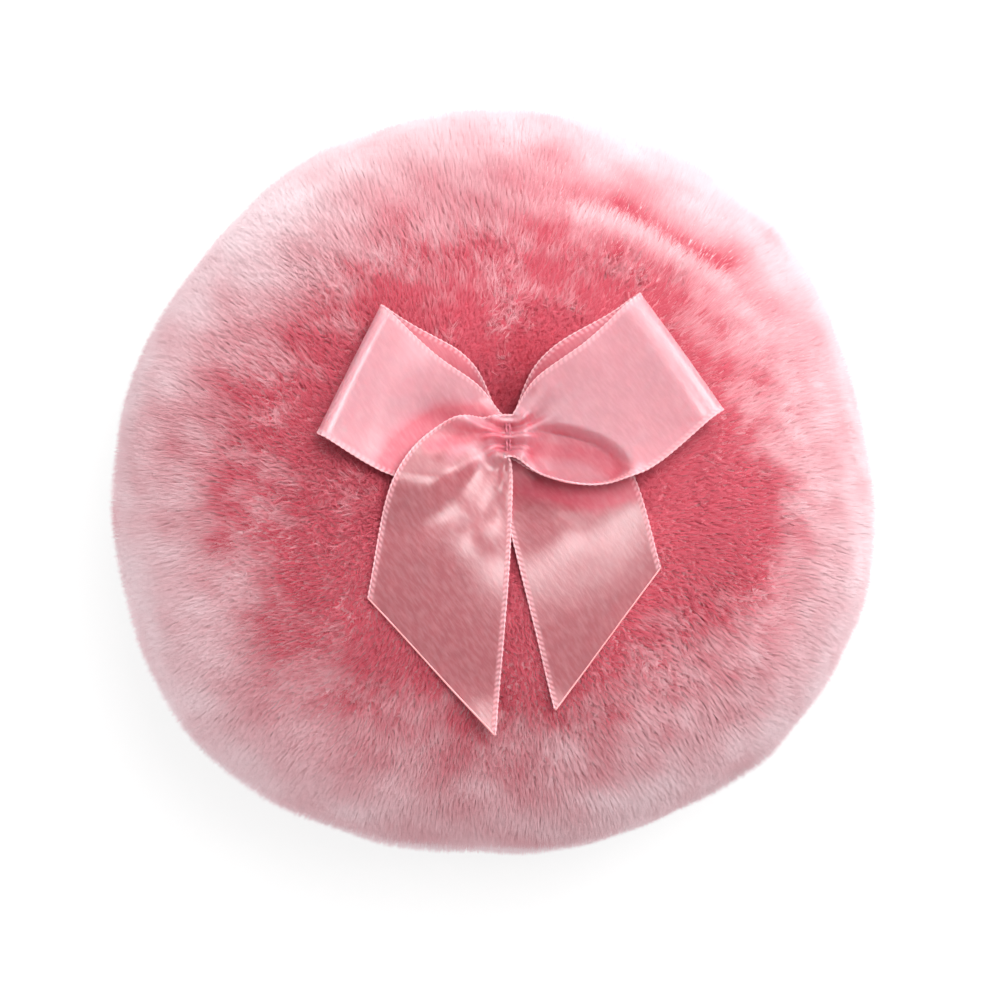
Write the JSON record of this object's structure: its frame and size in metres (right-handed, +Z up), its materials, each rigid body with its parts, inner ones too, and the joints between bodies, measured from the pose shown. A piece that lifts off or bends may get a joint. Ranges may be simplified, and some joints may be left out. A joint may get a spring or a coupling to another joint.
{
  "type": "powder puff",
  "caption": "Round plush powder puff: two pile-fabric panels sewn over soft filling, with a folded satin ribbon bow cinched and stitched into a dimple in the crown.",
  "frame": {"origin": "middle of the flat face under the base panel, which the puff rests on", "axes": "+Z up through the crown and the bow, -Y the way the tails of the bow point, +X to the right of someone who looks at the bow with its tails towards them"},
  "size_m": [0.0864, 0.0864, 0.055],
  "materials": {
    "plush_fur": "matte",
    "filling": "matte",
    "satin_ribbon": "satin",
    "sewing_thread": "satin"
  },
  "bodies": {
    "root": {"fur_top_panel": "plush_fur", "fur_base_panel": "plush_fur", "fibre_filling": "filling", "rim_seam_thread": "sewing_thread", "closing_stitch_thread": "sewing_thread", "bow_ribbon": "satin_ribbon", "cinch_thread": "sewing_thread", "anchor_thread": "sewing_thread"}
  },
  "joints": []
}
